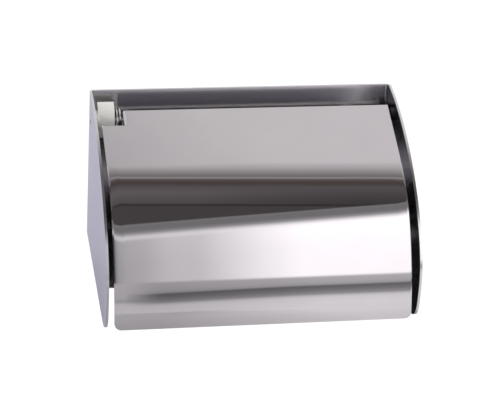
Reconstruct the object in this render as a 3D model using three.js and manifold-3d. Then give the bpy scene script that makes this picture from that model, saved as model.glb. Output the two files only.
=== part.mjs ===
// Wall-mounted toilet paper holder with a sprung, curved cover, in folded stainless sheet.
//
// Frame, in millimetres: the origin is the centre of the back plate's rear face, the wall is the
// plane Y = 0, the front is towards -Y and Z is up. Side outlines are drawn as (depth, height),
// where depth is the distance in front of the wall, so Y = -depth.

import * as THREE from 'three';
import { mergeVertices } from 'three/addons/utils/BufferGeometryUtils.js';
import Module from 'manifold-3d';

const wasm = await Module();
wasm.setup();

// ---------------------------------------------------------------- driving dimensions

const WIDTH = 150;              // over the outer faces of the two cheeks
const PLATE_HEIGHT = 76;        // back plate, top edge to bottom edge
const SHEET = 1.2;              // thickness of the folded body
const BEND_RADIUS = 2.4;        // outer radius where the cheeks fold forward
const GAP = 0.3;                // clearance between pieces that rest on each other

const CHEEK_DEPTH = 87.8;       // deepest point of a cheek's front edge
const CHEEK_FRONT_HEIGHT = -28; // height at which that front edge is upright
const CHEEK_FRONT_END = -35;    // where the upright edge turns into the rounded tip
const CHEEK_TOP_FLAT = 2.3;     // the cheek's top edge is level this far, then curves down
const CHEEK_TOP_HANDLE = { depth: 41.8, drop: 3.9 };
const CHEEK_FRONT_HANDLE = 27.8;
const CHEEK_BACK_CORNER = 3;    // radius of the lower corner at the wall
const LOWER_EDGE_SLOPE = 7.73;  // degrees that the lower edge falls towards the front
const SHELF_DEPTH = 49.8;       // the shelf between the cheeks ends here
const SHELF_RAISE = 0.2;        // the shelf's underside sits this far above the cheeks' lower edge
const SHELF_ROOT = { back: 0.9, front: 3.4 };       // the shelf slopes up into the back plate

const COVER_SHEET = 1.0;
const COVER_WIDTH = 142;
const COVER_BACK = { depth: 13.4, height: 32.5 };   // top edge of the flat sloping panel
const COVER_BEND = { depth: 45.0, height: 18.4 };   // where the flat panel starts to curve
const COVER_LIP = { depth: 89.4, height: -44.8 };   // lower edge
const COVER_LIP_ANGLE = 78;     // degrees below level at the lip
const COVER_BEND_HANDLE = 22.5;
const COVER_LIP_HANDLE = 35.5;
const LIP_CORNER = 3.2;         // radius of the cover's two lower corners
const NOTCH_WIDTH = 10.8;       // cut in the top left corner of the cover
const NOTCH_DEPTH = 22;         // the notch ends this far from the wall

const PIN = { depth: 8, height: 24.9, radius: 1.2 };
const PIN_HOLE = 1.35;
const PIN_PROUD = 0.4;          // the peened ends stand this far out of the cheeks
const EAR_RADIUS = 3.6;
const EAR_TOP = { from: 0.3, to: 9.3 };             // along the flat panel
const EAR_ROUND = { front: -52, back: 149 };        // degrees, the ends of the arc below the pin
const EAR_FOLD = 1.2;           // outer radius where the left ear folds down from the panel
const EAR_HOLE_ANGLE = 26;      // degrees above level, from the pin to the spring's hole
const EAR_HOLE_REACH = 7.2;

const BLOCK_INNER = 63.65;      // distance of the block's inner face from the middle
const BLOCK_WIDTH = 8.05;
const BLOCK_OUTLINE = [[5.6, 17.9], [12.8, 17.9], [12.8, 24.5], [10.5, 30.9], [5.6, 33.9]];
const BLOCK_BOSS = 5.3;         // radius of the boss that reaches the cheek
const BUSH_RADIUS = 3.2;

const SPRING_WIRE = 0.9;
const SPRING_RADIUS = 6;        // to the middle of the wire
const SPRING_TURNS = 1.5;
const SPRING_PITCH = 1.15;
const SPRING_LEG = 11;          // length of the leg that rests on the back plate
const SPRING_FLARE = 0.8;       // share of the coil after which it widens to the ear's hole
const SPRING_HOOK = 1.2;        // the hook goes this far through the ear

const SCREW_HOLE = { radius: 2.5, x: 56, upper: 22, lower: -24 };

const ROLLER = { depth: 44, height: -4 };
const ROLLER_TIP = 3.5;         // radius of the tips that sit in the sockets
const SOCKET = { bore: 3.9, radius: 6.5, length: 4.2 };
const SLEEVE = { radius: 10, wall: 1.3, end: 22 };
const PLUNGER = { radius: 8.5, wall: 1.2, engaged: 22 };
const ROLLER_SPRING = { wire: 0.9, radius: 5.5, turns: 11 };

// worked out from the above
const HALF_WIDTH = WIDTH / 2;
const INNER_HALF = HALF_WIDTH - SHEET;
const PLATE_TOP = PLATE_HEIGHT / 2;
const PLATE_BOTTOM = -PLATE_HEIGHT / 2;
const SLOPE = Math.tan(THREE.MathUtils.degToRad(LOWER_EDGE_SLOPE));
const COVER_HALF = COVER_WIDTH / 2;
const LEFT_EAR = -COVER_HALF + NOTCH_WIDTH;
const PANEL_SLOPE = Math.atan2(COVER_BACK.height - COVER_BEND.height, COVER_BEND.depth - COVER_BACK.depth);
const HOOK_ANGLE = THREE.MathUtils.degToRad(EAR_HOLE_ANGLE);

// ---------------------------------------------------------------- finishes

const polishedSteel = new THREE.MeshStandardMaterial({ color: 0xbab6b8, roughness: 0.12, metalness: 1 });
const satinSteel = new THREE.MeshStandardMaterial({ color: 0xb4b2bc, roughness: 0.35, metalness: 1 });
const springSteel = new THREE.MeshStandardMaterial({ color: 0x8f8d8a, roughness: 0.3, metalness: 1 });
const whiteNylon = new THREE.MeshStandardMaterial({ color: 0xd6d4cd, roughness: 0.5, metalness: 0 });
const darkPlastic = new THREE.MeshStandardMaterial({ color: 0x343436, roughness: 0.4, metalness: 0 });

// ---------------------------------------------------------------- small tools

// A side outline (depth, height) pushed across the object from xFrom to xTo.
function acrossX(outline, xFrom, xTo, curveSegments = 12) {
  const geometry = new THREE.ExtrudeGeometry(outline, {
    depth: xTo - xFrom, bevelEnabled: false, steps: 1, curveSegments,
  });
  const depthAxis = new THREE.Vector3(0, -1, 0);
  const heightAxis = new THREE.Vector3(0, 0, 1);
  const sideAxis = new THREE.Vector3(-1, 0, 0);
  geometry.applyMatrix4(new THREE.Matrix4().makeBasis(depthAxis, heightAxis, sideAxis));
  geometry.translate(xTo, 0, 0);
  return geometry;
}

// A front outline (x, height) pushed forward from one depth to another.
function fromFront(outline, depthFrom, depthTo, curveSegments = 8) {
  const geometry = new THREE.ExtrudeGeometry(outline, {
    depth: depthTo - depthFrom, bevelEnabled: false, steps: 1, curveSegments,
  });
  geometry.rotateX(Math.PI / 2);
  geometry.translate(0, -depthFrom, 0);
  return geometry;
}

function boxBetween(x0, x1, depth0, depth1, z0, z1) {
  const geometry = new THREE.BoxGeometry(x1 - x0, depth1 - depth0, z1 - z0);
  geometry.translate((x0 + x1) / 2, -(depth0 + depth1) / 2, (z0 + z1) / 2);
  return geometry;
}

// A round bar or drill along X.
function barAlongX(radius, x0, x1, depth, height, sides = 32) {
  const geometry = new THREE.CylinderGeometry(radius, radius, x1 - x0, sides);
  geometry.rotateZ(Math.PI / 2);
  geometry.translate((x0 + x1) / 2, -depth, height);
  return geometry;
}

// A closed (radius, x) profile turned around a line along X.
function turnedAlongX(profile, depth, height, segments = 32) {
  const points = profile.map(([radius, x]) => new THREE.Vector2(radius, x));
  const geometry = new THREE.LatheGeometry(points, segments);
  geometry.rotateZ(-Math.PI / 2);
  geometry.translate(0, -depth, height);
  return geometry;
}

// A round wire along a list of points.
function wireAlong(points, wire, sides, stepsPerPoint) {
  const corners = [];
  for (let i = 0; i < sides; i += 1) {
    const angle = (i / sides) * 2 * Math.PI;
    corners.push(new THREE.Vector2((wire / 2) * Math.cos(angle), (wire / 2) * Math.sin(angle)));
  }
  const section = new THREE.Shape(corners);
  const path = new THREE.CatmullRomCurve3(points, false, 'centripetal');
  const steps = Math.round(points.length * stepsPerPoint);
  return new THREE.ExtrudeGeometry(section, { steps, bevelEnabled: false, extrudePath: path });
}

function solid(geometry) {
  const bare = geometry.clone();
  bare.deleteAttribute('normal');
  bare.deleteAttribute('uv');
  const merged = mergeVertices(bare, 1e-4);
  return new wasm.Manifold(new wasm.Mesh({
    numProp: 3,
    vertProperties: new Float32Array(merged.attributes.position.array),
    triVerts: new Uint32Array(merged.index.array),
  }));
}

function geometryOf(manifold) {
  const mesh = manifold.getMesh();
  const geometry = new THREE.BufferGeometry();
  geometry.setAttribute('position', new THREE.BufferAttribute(mesh.vertProperties, 3));
  geometry.setIndex(new THREE.BufferAttribute(mesh.triVerts, 1));
  geometry.computeVertexNormals();
  return geometry;
}

function piece(name, geometry, material) {
  const mesh = new THREE.Mesh(geometry, material);
  mesh.name = name;
  return mesh;
}

// ---------------------------------------------------------------- folded body

// The cheek seen from the side: a curved front edge, a rounded lower tip and a sloping lower edge.
function cheekOutline() {
  const lowerEdge = (depth) => PLATE_BOTTOM - depth * SLOPE;
  const tipCorner = lowerEdge(CHEEK_DEPTH);
  const tipStart = CHEEK_DEPTH - (CHEEK_FRONT_END - tipCorner);
  const outline = new THREE.Shape();
  outline.moveTo(0, PLATE_TOP);
  outline.lineTo(CHEEK_TOP_FLAT, PLATE_TOP);
  outline.bezierCurveTo(
    CHEEK_TOP_HANDLE.depth, PLATE_TOP - CHEEK_TOP_HANDLE.drop,
    CHEEK_DEPTH, CHEEK_FRONT_HEIGHT + CHEEK_FRONT_HANDLE,
    CHEEK_DEPTH, CHEEK_FRONT_HEIGHT,
  );
  outline.lineTo(CHEEK_DEPTH, CHEEK_FRONT_END);
  outline.quadraticCurveTo(CHEEK_DEPTH, tipCorner, tipStart, lowerEdge(tipStart));
  outline.lineTo(CHEEK_BACK_CORNER, lowerEdge(CHEEK_BACK_CORNER));
  outline.quadraticCurveTo(0, PLATE_BOTTOM, 0, PLATE_BOTTOM + CHEEK_BACK_CORNER);
  outline.closePath();
  return outline;
}

// The body from above: back plate and two cheeks with rounded bends, open to the front.
function channelFromAbove(height0, height1) {
  const outer = HALF_WIDTH;
  const inner = INNER_HALF;
  const bend = BEND_RADIUS;
  const innerBend = BEND_RADIUS - SHEET;
  const front = CHEEK_DEPTH + 10;
  const plan = new THREE.Shape();
  plan.moveTo(-outer, -front);
  plan.lineTo(-inner, -front);
  plan.lineTo(-inner, -SHEET - innerBend);
  plan.absarc(-inner + innerBend, -SHEET - innerBend, innerBend, Math.PI, Math.PI / 2, true);
  plan.lineTo(inner - innerBend, -SHEET);
  plan.absarc(inner - innerBend, -SHEET - innerBend, innerBend, Math.PI / 2, 0, true);
  plan.lineTo(inner, -front);
  plan.lineTo(outer, -front);
  plan.lineTo(outer, -bend);
  plan.absarc(outer - bend, -bend, bend, 0, Math.PI / 2, false);
  plan.lineTo(-outer + bend, 0);
  plan.absarc(-outer + bend, -bend, bend, Math.PI / 2, Math.PI, false);
  plan.closePath();
  const geometry = new THREE.ExtrudeGeometry(plan, {
    depth: height1 - height0, bevelEnabled: false, steps: 1, curveSegments: 8,
  });
  geometry.translate(0, 0, height0);
  return geometry;
}

function bodyShell() {
  const channel = solid(channelFromAbove(-70, 50));
  const side = solid(acrossX(cheekOutline(), -HALF_WIDTH - 1, HALF_WIDTH + 1, 28));
  const shelfBottom = (depth) => PLATE_BOTTOM + SHELF_RAISE - depth * SLOPE;
  const shelf = new THREE.Shape();
  shelf.moveTo(SHELF_ROOT.back, shelfBottom(SHELF_ROOT.back) + SHEET);
  shelf.lineTo(SHELF_ROOT.front, shelfBottom(SHELF_ROOT.front));
  shelf.lineTo(SHELF_DEPTH, shelfBottom(SHELF_DEPTH));
  shelf.lineTo(SHELF_DEPTH, shelfBottom(SHELF_DEPTH) + SHEET);
  shelf.lineTo(SHELF_ROOT.back, shelfBottom(SHELF_ROOT.back) + 2 * SHEET);
  shelf.closePath();
  let body = channel.intersect(side);
  body = body.add(solid(acrossX(shelf, -INNER_HALF - 0.5, INNER_HALF + 0.5)));
  for (const x of [-SCREW_HOLE.x, SCREW_HOLE.x]) {
    for (const z of [SCREW_HOLE.upper, SCREW_HOLE.lower]) {
      const drill = new THREE.CylinderGeometry(SCREW_HOLE.radius, SCREW_HOLE.radius, 6, 24);
      drill.translate(x, 0, z);
      body = body.subtract(solid(drill));
    }
  }
  const pinDrill = barAlongX(PIN_HOLE, -HALF_WIDTH - 5, HALF_WIDTH + 5, PIN.depth, PIN.height);
  return geometryOf(body.subtract(solid(pinDrill)));
}

// ---------------------------------------------------------------- cover

// Points down the middle of the cover's outer face, from the back edge to the lip.
function coverLine() {
  const back = new THREE.Vector2(COVER_BACK.depth, COVER_BACK.height);
  const bend = new THREE.Vector2(COVER_BEND.depth, COVER_BEND.height);
  const lip = new THREE.Vector2(COVER_LIP.depth, COVER_LIP.height);
  const along = bend.clone().sub(back).normalize();
  const lipAngle = THREE.MathUtils.degToRad(COVER_LIP_ANGLE);
  const lipWay = new THREE.Vector2(Math.cos(lipAngle), -Math.sin(lipAngle));
  const curve = new THREE.CubicBezierCurve(
    bend,
    bend.clone().addScaledVector(along, COVER_BEND_HANDLE),
    lip.clone().addScaledVector(lipWay, -COVER_LIP_HANDLE),
    lip,
  );
  return [back, ...curve.getPoints(28)];
}

// The line thickened inwards into a sheet section.
function sheetSection(line, thickness) {
  const inside = line.map((point, i) => {
    const before = line[Math.max(i - 1, 0)];
    const after = line[Math.min(i + 1, line.length - 1)];
    const way = after.clone().sub(before).normalize();
    return new THREE.Vector2(point.x + way.y * thickness, point.y - way.x * thickness);
  });
  return new THREE.Shape([...line, ...inside.reverse()]);
}

// An ear hangs from the flat panel and rounds the pin.
function earOutline() {
  const inside = COVER_SHEET / 2;
  const onPanel = (distance) => [
    COVER_BACK.depth + distance * Math.cos(PANEL_SLOPE) - inside * Math.sin(PANEL_SLOPE),
    COVER_BACK.height - distance * Math.sin(PANEL_SLOPE) - inside * Math.cos(PANEL_SLOPE),
  ];
  const arcStart = THREE.MathUtils.degToRad(EAR_ROUND.front);
  const arcEnd = THREE.MathUtils.degToRad(EAR_ROUND.back);
  const ear = new THREE.Shape();
  ear.moveTo(...onPanel(EAR_TOP.from));
  ear.lineTo(...onPanel(EAR_TOP.to));
  ear.absarc(PIN.depth, PIN.height, EAR_RADIUS, arcStart, arcEnd, true);
  ear.closePath();
  return ear;
}

// The square corner above the left ear, outside the round of its fold.
function foldCorner() {
  const outside = 0.5;
  const before = 2;
  const length = (NOTCH_DEPTH - COVER_BACK.depth) / Math.cos(PANEL_SLOPE);
  const section = new THREE.Shape();
  section.moveTo(-outside, outside);
  section.lineTo(-outside, -EAR_FOLD);
  section.lineTo(0, -EAR_FOLD);
  section.absarc(EAR_FOLD, -EAR_FOLD, EAR_FOLD, Math.PI, Math.PI / 2, true);
  section.lineTo(EAR_FOLD, outside);
  section.closePath();
  const geometry = new THREE.ExtrudeGeometry(section, {
    depth: before + length, bevelEnabled: false, steps: 1, curveSegments: 8,
  });
  geometry.translate(0, 0, -before);
  const across = new THREE.Vector3(1, 0, 0);
  const outwards = new THREE.Vector3(0, -Math.sin(PANEL_SLOPE), Math.cos(PANEL_SLOPE));
  const downPanel = new THREE.Vector3(0, -Math.cos(PANEL_SLOPE), -Math.sin(PANEL_SLOPE));
  geometry.applyMatrix4(new THREE.Matrix4().makeBasis(across, outwards, downPanel));
  geometry.translate(LEFT_EAR, -COVER_BACK.depth, COVER_BACK.height);
  return geometry;
}

function cover() {
  const line = coverLine();
  let sheet = solid(acrossX(sheetSection(line, COVER_SHEET), -COVER_HALF, COVER_HALF));
  const front = new THREE.Shape();
  const low = COVER_LIP.height - 0.5;
  front.moveTo(-COVER_HALF, 60);
  front.lineTo(-COVER_HALF, low + LIP_CORNER);
  front.quadraticCurveTo(-COVER_HALF, low, -COVER_HALF + LIP_CORNER, low);
  front.lineTo(COVER_HALF - LIP_CORNER, low);
  front.quadraticCurveTo(COVER_HALF, low, COVER_HALF, low + LIP_CORNER);
  front.lineTo(COVER_HALF, 60);
  front.closePath();
  sheet = sheet.intersect(solid(fromFront(front, 0, 110)));
  const notch = boxBetween(-COVER_HALF - 5, LEFT_EAR, 0, NOTCH_DEPTH, 0, 60);
  const pinHoles = barAlongX(PIN_HOLE, -COVER_HALF - 5, COVER_HALF + 5, PIN.depth, PIN.height);
  const hookDepth = PIN.depth + EAR_HOLE_REACH * Math.cos(HOOK_ANGLE);
  const hookHeight = PIN.height + EAR_HOLE_REACH * Math.sin(HOOK_ANGLE);
  const hookHole = barAlongX(SPRING_WIRE / 2 + GAP, LEFT_EAR - 3, LEFT_EAR + 4, hookDepth, hookHeight, 16);
  const leftEar = acrossX(earOutline(), LEFT_EAR, LEFT_EAR + COVER_SHEET);
  const rightEar = acrossX(earOutline(), COVER_HALF - COVER_SHEET, COVER_HALF);
  sheet = sheet.subtract(solid(notch)).add(solid(leftEar)).add(solid(rightEar));
  sheet = sheet.subtract(solid(foldCorner())).subtract(solid(pinHoles)).subtract(solid(hookHole));
  return geometryOf(sheet);
}

// ---------------------------------------------------------------- hinge

function hingePin() {
  const end = HALF_WIDTH + PIN_PROUD;
  const profile = [
    [0, -end], [PIN.radius * 0.7, -end], [PIN.radius, -end + 0.3],
    [PIN.radius, end - 0.3], [PIN.radius * 0.7, end], [0, end],
  ];
  return turnedAlongX(profile, PIN.depth, PIN.height);
}

// A nylon block with a round boss that reaches the cheek.
function hingeBlock() {
  const outline = new THREE.Shape(BLOCK_OUTLINE.map(([depth, height]) => new THREE.Vector2(depth, height)));
  const outer = -BLOCK_INNER - BLOCK_WIDTH;
  const body = solid(acrossX(outline, outer, -BLOCK_INNER));
  const boss = solid(barAlongX(BLOCK_BOSS, -INNER_HALF + GAP, outer + 1, PIN.depth, PIN.height));
  const drill = solid(barAlongX(PIN_HOLE, -HALF_WIDTH, 0, PIN.depth, PIN.height));
  return geometryOf(body.add(boss).subtract(drill));
}

function hingeBush() {
  const x0 = COVER_HALF + GAP;
  const x1 = INNER_HALF - GAP;
  const profile = [
    [PIN_HOLE, x0], [BUSH_RADIUS, x0], [BUSH_RADIUS, x1], [PIN_HOLE, x1], [PIN_HOLE, x0],
  ];
  return turnedAlongX(profile, PIN.depth, PIN.height);
}

// Coils around the pin, one leg resting on the back plate and one hooked through the cover's ear.
function torsionSpring() {
  const legPoints = 4;
  const pointsPerTurn = 16;
  const xStart = -BLOCK_INNER + GAP + SPRING_WIRE / 2;
  const place = (x, radius, angle) => new THREE.Vector3(
    x, -(PIN.depth + radius * Math.cos(angle)), PIN.height + radius * Math.sin(angle));
  const points = [];
  for (let i = 0; i < legPoints; i += 1) {
    const drop = SPRING_LEG * (1 - i / legPoints);
    points.push(new THREE.Vector3(xStart, -(PIN.depth - SPRING_RADIUS), PIN.height - drop));
  }
  const sweep = SPRING_TURNS * 2 * Math.PI - HOOK_ANGLE;
  const count = Math.round(SPRING_TURNS * pointsPerTurn);
  for (let i = 0; i <= count; i += 1) {
    const share = i / count;
    const flare = Math.max(0, (share - SPRING_FLARE) / (1 - SPRING_FLARE));
    const radius = SPRING_RADIUS + (EAR_HOLE_REACH - SPRING_RADIUS) * flare * flare * (3 - 2 * flare);
    points.push(place(xStart + share * SPRING_TURNS * SPRING_PITCH, radius, Math.PI - share * sweep));
  }
  for (const x of [LEFT_EAR - 0.1, LEFT_EAR + COVER_SHEET, LEFT_EAR + COVER_SHEET + SPRING_HOOK]) {
    points.push(place(x, EAR_HOLE_REACH, HOOK_ANGLE));
  }
  return wireAlong(points, SPRING_WIRE, 8, 1.6);
}

// ---------------------------------------------------------------- roller

function socket(side) {
  const face = INNER_HALF - GAP;
  const mouth = face - SOCKET.length;
  const profile = [
    [SOCKET.bore, mouth], [SOCKET.radius - 0.6, mouth], [SOCKET.radius, mouth + 0.6],
    [SOCKET.radius, face], [SOCKET.bore, face], [SOCKET.bore, mouth],
  ];
  const geometry = turnedAlongX(profile, 0, 0);
  if (side < 0) geometry.rotateZ(Math.PI);
  geometry.translate(0, -ROLLER.depth, ROLLER.height);
  return geometry;
}

const TIP_END = INNER_HALF - 2 * GAP;
const SHOULDER = INNER_HALF - GAP - SOCKET.length - 0.6;

// The sleeve is closed at its left end, where its tip is, and open at the right.
function rollerSleeve() {
  const inside = SLEEVE.radius - SLEEVE.wall;
  const profile = [
    [0, -TIP_END], [ROLLER_TIP - 0.8, -TIP_END], [ROLLER_TIP, -TIP_END + 1.2],
    [ROLLER_TIP, -SHOULDER], [SLEEVE.radius - 1.2, -SHOULDER], [SLEEVE.radius, -SHOULDER + 1.2],
    [SLEEVE.radius, SLEEVE.end], [inside, SLEEVE.end], [inside, -SHOULDER + 2], [0, -SHOULDER + 2],
  ];
  return turnedAlongX(profile, ROLLER.depth, ROLLER.height, 36);
}

// The plunger is open at its left end, inside the sleeve, and carries the right tip.
function rollerPlunger() {
  const inside = PLUNGER.radius - PLUNGER.wall;
  const mouth = SLEEVE.end - PLUNGER.engaged;
  const profile = [
    [0, SHOULDER - 2], [inside, SHOULDER - 2], [inside, mouth], [PLUNGER.radius, mouth],
    [PLUNGER.radius, SHOULDER - 1.2], [PLUNGER.radius - 1.2, SHOULDER], [ROLLER_TIP, SHOULDER],
    [ROLLER_TIP, TIP_END - 1.2], [ROLLER_TIP - 0.8, TIP_END], [0, TIP_END],
  ];
  return turnedAlongX(profile, ROLLER.depth, ROLLER.height, 36);
}

function rollerSpring() {
  const perTurn = 12;
  const x0 = -SHOULDER + 2 + GAP + ROLLER_SPRING.wire / 2;
  const x1 = SHOULDER - 2 - GAP - ROLLER_SPRING.wire / 2;
  const points = [];
  const count = ROLLER_SPRING.turns * perTurn;
  for (let i = 0; i <= count; i += 1) {
    const angle = (i / perTurn) * 2 * Math.PI;
    points.push(new THREE.Vector3(
      x0 + (x1 - x0) * (i / count),
      -(ROLLER.depth + ROLLER_SPRING.radius * Math.cos(angle)),
      ROLLER.height + ROLLER_SPRING.radius * Math.sin(angle),
    ));
  }
  return wireAlong(points, ROLLER_SPRING.wire, 6, 1);
}

// ---------------------------------------------------------------- assembly

const holder = new THREE.Group();
holder.add(piece('body_shell', bodyShell(), satinSteel));
holder.add(piece('cover', cover(), polishedSteel));
holder.add(piece('hinge_pin', hingePin(), springSteel));
holder.add(piece('hinge_block', hingeBlock(), whiteNylon));
holder.add(piece('hinge_bush', hingeBush(), darkPlastic));
holder.add(piece('torsion_spring', torsionSpring(), springSteel));
holder.add(piece('socket_left', socket(-1), darkPlastic));
holder.add(piece('socket_right', socket(1), darkPlastic));
holder.add(piece('roller_sleeve', rollerSleeve(), darkPlastic));
holder.add(piece('roller_plunger', rollerPlunger(), darkPlastic));
holder.add(piece('roller_spring', rollerSpring(), springSteel));

export default holder;
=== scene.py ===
"""Looks of the toilet paper holder: fine meshes, polished steel and nylon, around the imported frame.

Sizes are in millimetres where they are named, and mm() turns them into metres. Side outlines are
lists of (depth, height), where depth is the distance in front of the wall, so Y = -depth.
"""
import math

import bmesh
import bpy
from mathutils import Matrix, Vector


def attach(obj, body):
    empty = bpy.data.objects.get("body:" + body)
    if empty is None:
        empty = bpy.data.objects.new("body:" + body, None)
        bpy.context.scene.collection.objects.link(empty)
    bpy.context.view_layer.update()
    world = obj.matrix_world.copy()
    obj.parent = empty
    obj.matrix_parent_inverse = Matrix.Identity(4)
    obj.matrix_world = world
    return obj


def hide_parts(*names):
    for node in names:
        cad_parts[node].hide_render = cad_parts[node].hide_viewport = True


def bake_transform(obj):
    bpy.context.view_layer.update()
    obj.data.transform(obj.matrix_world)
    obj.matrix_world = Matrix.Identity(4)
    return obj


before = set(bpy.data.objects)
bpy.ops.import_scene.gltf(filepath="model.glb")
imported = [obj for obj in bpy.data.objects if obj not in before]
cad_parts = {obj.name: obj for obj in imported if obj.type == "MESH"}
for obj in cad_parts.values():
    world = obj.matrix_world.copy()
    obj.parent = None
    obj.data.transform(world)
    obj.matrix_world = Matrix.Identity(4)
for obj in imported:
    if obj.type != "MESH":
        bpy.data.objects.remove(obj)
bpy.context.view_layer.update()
scene = bpy.context.scene

# ---------------------------------------------------------------- driving sizes, as in the frame

MM = 0.001
HALF_WIDTH = 75.0
SHEET = 1.2
INNER_HALF = HALF_WIDTH - SHEET
BEND = 2.4                      # outer radius of the body's folds
PLATE_TOP = 38.0
PLATE_BOTTOM = -38.0
CHEEK_DEPTH = 87.8
CHEEK_FRONT_TOP = -28.0         # the cheek's front edge is upright from here
CHEEK_FRONT_END = -35.0         # down to here, where the rounded tip starts
CHEEK_FLAT = 2.3                # the cheek's top edge is level for this depth
CHEEK_TOP_HANDLE = (41.8, 3.9)  # the front curve's upper handle: depth, and drop from the top
CHEEK_FRONT_HANDLE = 27.8       # and its lower handle, above CHEEK_FRONT_TOP
PLATE_CORNER = 3.0              # the cheek's rear lower corner is rounded by this much
LOWER_SLOPE = math.tan(math.radians(7.73))
SHELF_DEPTH = 49.8
SHELF_RAISE = 0.2

COVER_SHEET = 1.0
COVER_HALF = 71.0
COVER_BACK = (13.4, 32.5)
COVER_BEND = (45.0, 18.4)
COVER_LIP = (89.4, -44.8)
COVER_LIP_ANGLE = math.radians(78)
COVER_BEND_HANDLE = 22.5        # how strongly the curve leaves the bend
COVER_LIP_HANDLE = 35.5         # and how strongly it arrives at the lip
LIP_CORNER = 3.2
EDGE_ROLL = 5.5                 # the curved part's side edges turn in over this width
EDGE_ROLL_DEPTH = 0.09
RIGHT_ROLL = 0.5                # the right edge turns in less
NOTCH_WIDTH = 10.8
NOTCH_DEPTH = 22.0
LEFT_EAR = -COVER_HALF + NOTCH_WIDTH

PIN_DEPTH = 8.0
PIN_HEIGHT = 24.9
PIN_RADIUS = 1.2
PIN_HOLE = 1.35
EAR_RADIUS = 3.6
EAR_FOLD = 1.2                  # outer radius where the left ear folds down from the cover
EAR_FOOT_BACK = 149             # the ear's round lower edge runs from this angle round the pin
EAR_FOOT_FRONT = 308            # to this one
RIGHT_EAR_START = 0.4           # the right ear joins the panel from here
RIGHT_EAR_END = 9.2             # to here, along the panel
HOOK_ANGLE = math.radians(26)
HOOK_REACH = 7.2
HOOK_BEND = 0.7                 # radius of the bend from the coil to the hook
HOOK_THROUGH = 1.2              # the hook goes this far past the ear

BLOCK_INNER = 63.65
BLOCK_WIDTH = 8.05
BLOCK_OUTLINE = [(5.6, 17.9), (12.8, 17.9), (12.8, 24.5), (10.5, 30.9), (5.6, 33.9)]
BOSS_RADIUS = 5.3
BUSH_RADIUS = 3.2

WIRE = 0.9
COIL_RADIUS = 6.0
COIL_TURNS = 1.5
COIL_PITCH = 1.15
COIL_FLARE = 0.8                # share of the coil after which it widens to the hook
SPRING_LEG = 11                 # length of the leg that rests on the back plate

SCREW_X = 56.0
SCREW_UPPER = 22.0
SCREW_LOWER = -24.0
SCREW_RADIUS = 2.5

ROLLER_DEPTH = 44.0
ROLLER_HEIGHT = -4.0
GAP = 0.3


def mm(x, depth, z):
    """A point in the frame, in metres, from millimetres across, in front of the wall, and up."""
    return Vector((x * MM, -depth * MM, z * MM))


# ---------------------------------------------------------------- materials

class Nodes:
    """A short way to add and join shader nodes."""

    def __init__(self, tree):
        self.tree = tree
        tree.nodes.clear()

    def add(self, kind, **settings):
        node = self.tree.nodes.new(kind)
        for key, value in settings.items():
            setattr(node, key, value)
        return node

    def join(self, source, target):
        self.tree.links.new(source, target)


def new_material(name):
    material = bpy.data.materials.new(name)
    material.use_nodes = True
    nodes = Nodes(material.node_tree)
    output = nodes.add("ShaderNodeOutputMaterial")
    shader = nodes.add("ShaderNodeBsdfPrincipled")
    nodes.join(shader.outputs["BSDF"], output.inputs["Surface"])
    return material, nodes, shader


def place_noise(nodes, stretch, scale, detail=4.0, roughness=0.55):
    """A noise that is fixed to the object, stretched along its axes."""
    where = nodes.add("ShaderNodeTexCoord")
    mapping = nodes.add("ShaderNodeMapping")
    mapping.inputs["Scale"].default_value = stretch
    noise = nodes.add("ShaderNodeTexNoise")
    noise.inputs["Scale"].default_value = scale
    noise.inputs["Detail"].default_value = detail
    noise.inputs["Roughness"].default_value = roughness
    nodes.join(where.outputs["Object"], mapping.inputs["Vector"])
    nodes.join(mapping.outputs["Vector"], noise.inputs["Vector"])
    return noise


def span(nodes, source, low, high, from_low=0.3, from_high=0.7):
    """A value that follows source between two limits."""
    spread = nodes.add("ShaderNodeMapRange")
    spread.inputs["From Min"].default_value = from_low
    spread.inputs["From Max"].default_value = from_high
    spread.inputs["To Min"].default_value = low
    spread.inputs["To Max"].default_value = high
    nodes.join(source, spread.inputs["Value"])
    return spread.outputs["Result"]


def tint(nodes, source, dark, light):
    """A colour that follows source between two colours."""
    mix = nodes.add("ShaderNodeMix", data_type="RGBA")
    mix.inputs["A"].default_value = (*dark, 1)
    mix.inputs["B"].default_value = (*light, 1)
    nodes.join(source, mix.inputs["Factor"])
    return mix.outputs["Result"]


def steel(name, colour, roughness, grain, grain_depth, waviness):
    """Rolled stainless steel: fine lines along the sheet, faint smudges and a slight wave."""
    material, nodes, shader = new_material(name)
    shader.inputs["Metallic"].default_value = 1.0
    lines = place_noise(nodes, (12, 900, 900), 1.0, 3.0)
    smudge = place_noise(nodes, (1, 1, 1), 38.0, 5.0)
    wave = place_noise(nodes, (1, 0.6, 0.6), 22.0, 1.0)
    dark = tuple(channel * 0.965 for channel in colour)
    nodes.join(tint(nodes, span(nodes, smudge.outputs["Fac"], 0, 1), dark, colour),
               shader.inputs["Base Color"])
    rough = span(nodes, lines.outputs["Fac"], roughness * 0.85, roughness * (1 + grain))
    nodes.join(rough, shader.inputs["Roughness"])
    fine = nodes.add("ShaderNodeBump")
    fine.inputs["Strength"].default_value = 0.35
    fine.inputs["Distance"].default_value = grain_depth
    nodes.join(lines.outputs["Fac"], fine.inputs["Height"])
    broad = nodes.add("ShaderNodeBump")
    broad.inputs["Strength"].default_value = 1.0
    broad.inputs["Distance"].default_value = waviness
    nodes.join(wave.outputs["Fac"], broad.inputs["Height"])
    nodes.join(fine.outputs["Normal"], broad.inputs["Normal"])
    nodes.join(broad.outputs["Normal"], shader.inputs["Normal"])
    return material


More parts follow.
